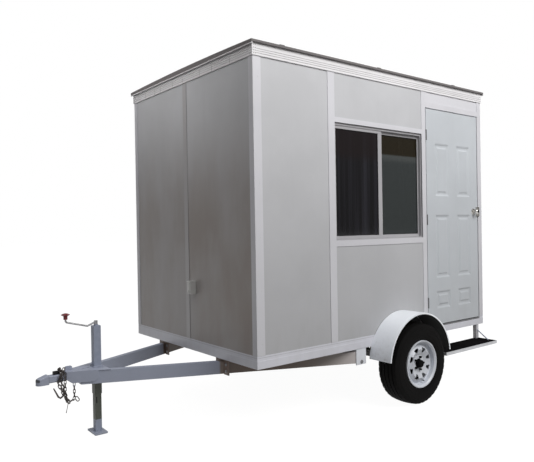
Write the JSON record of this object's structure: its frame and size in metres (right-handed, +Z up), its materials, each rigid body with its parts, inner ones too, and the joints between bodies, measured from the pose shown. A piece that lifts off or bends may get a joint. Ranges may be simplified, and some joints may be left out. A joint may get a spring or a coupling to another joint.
{
  "type": "portable office cabin on a single-axle trailer",
  "caption": "Small insulated-panel site office cabin on a trailer, with a drawbar, screw jack, side door with step, sliding window and fenders over its road wheels.",
  "frame": {"origin": "on the ground, under the middle of the whole length and width", "axes": "+X along the trailer to its rear, so the drawbar points to -X; -Y is the side with the door; +Z up"},
  "size_m": [4.325, 2.4944, 3],
  "materials": {
    "wall_panel": "satin",
    "white_trim": "satin",
    "fascia_white": "satin",
    "roof_sheet": "matte",
    "window_frame": "satin",
    "glass": "gloss",
    "door_skin": "satin",
    "steel_hardware": "satin",
    "dark_plate": "satin",
    "plywood": "matte",
    "floor_steel": "matte",
    "chassis_paint": "satin",
    "bare_leg": "satin",
    "zinc": "satin",
    "red_grip": "gloss",
    "grey_plastic": "satin",
    "fender_white": "gloss",
    "tyre": "matte",
    "wheel_white": "gloss",
    "hub_black": "satin",
    "spring_steel": "matte",
    "tread_rubber": "matte",
    "step_paint": "satin",
    "chain_steel": "satin"
  },
  "bodies": {
    "trailer": {"floor_rails": "floor_steel", "floor_joists": "floor_steel", "floor_deck": "plywood", "base_trims": "white_trim", "corner_trims": "white_trim", "front_wall_panels": "wall_panel", "rear_wall_panels": "wall_panel", "right_wall_panels": "wall_panel", "left_wall_panels": "wall_panel", "wall_strips": "white_trim", "window_trims": "white_trim", "window_frame": "window_frame", "window_sashes": "window_frame", "window_glass": "glass", "door_frame": "white_trim", "door_threshold": "white_trim", "door_hinge_pins": "steel_hardware", "roof_panel": "wall_panel", "roof_fascia": "fascia_white", "fascia_caps": "fascia_white", "roof_sheet": "roof_sheet", "power_inlet": "grey_plastic", "drawbar_rails": "chassis_paint", "crossbeam": "chassis_paint", "drawbar_cleats": "chassis_paint", "hitch_coupler": "chassis_paint", "coupler_latch": "dark_plate", "safety_chain": "chain_steel", "jack_tube": "chassis_paint", "axle_beam": "spring_steel", "leaf_springs": "spring_steel", "spring_hangers": "spring_steel", "fenders": "fender_white", "step_frame": "step_paint", "step_tread": "tread_rubber", "step_posts": "step_paint", "step_braces": "step_paint"},
    "door": {"door_leaf": "door_skin", "door_hinge_leaves": "steel_hardware", "door_knobs": "steel_hardware", "latch_guard": "dark_plate"},
    "left_wheel": {"left_tyre": "tyre", "left_rim": "wheel_white", "left_hub": "hub_black"},
    "right_wheel": {"right_tyre": "tyre", "right_rim": "wheel_white", "right_hub": "hub_black"},
    "jack_leg": {"jack_leg": "bare_leg", "jack_foot": "chassis_paint"},
    "jack_crank": {"crank_rod": "zinc", "crank_knob": "red_grip"}
  },
  "joints": [
    {"name": "door_swing", "type": "hinge", "parent": "trailer", "child": "door", "pos_m": [1.2025, -1.013, 1.6], "axis": [0, 0, -1], "range_deg": [0, 100]},
    {"name": "left_wheel_spin", "type": "hinge", "parent": "trailer", "child": "left_wheel", "pos_m": [0.7805, -1.1395, 0.359], "axis": [0, 1, 0], "continuous": true},
    {"name": "right_wheel_spin", "type": "hinge", "parent": "trailer", "child": "right_wheel", "pos_m": [0.7805, 1.1395, 0.359], "axis": [0, 1, 0], "continuous": true},
    {"name": "crank_turn", "type": "hinge", "parent": "trailer", "child": "jack_crank", "pos_m": [-1.6975, 0, 0.851], "axis": [0, 0, 1], "range_deg": [0, 18000]},
    {"name": "leg_slide", "type": "slide", "parent": "trailer", "child": "jack_leg", "axis": [0, 0, 1], "range_m": [0, 0.25]}
  ],
  "couplings": [
    {"joint": "leg_slide", "follows": "crank_turn", "m_per_rad": 0.00079577}
  ]
}
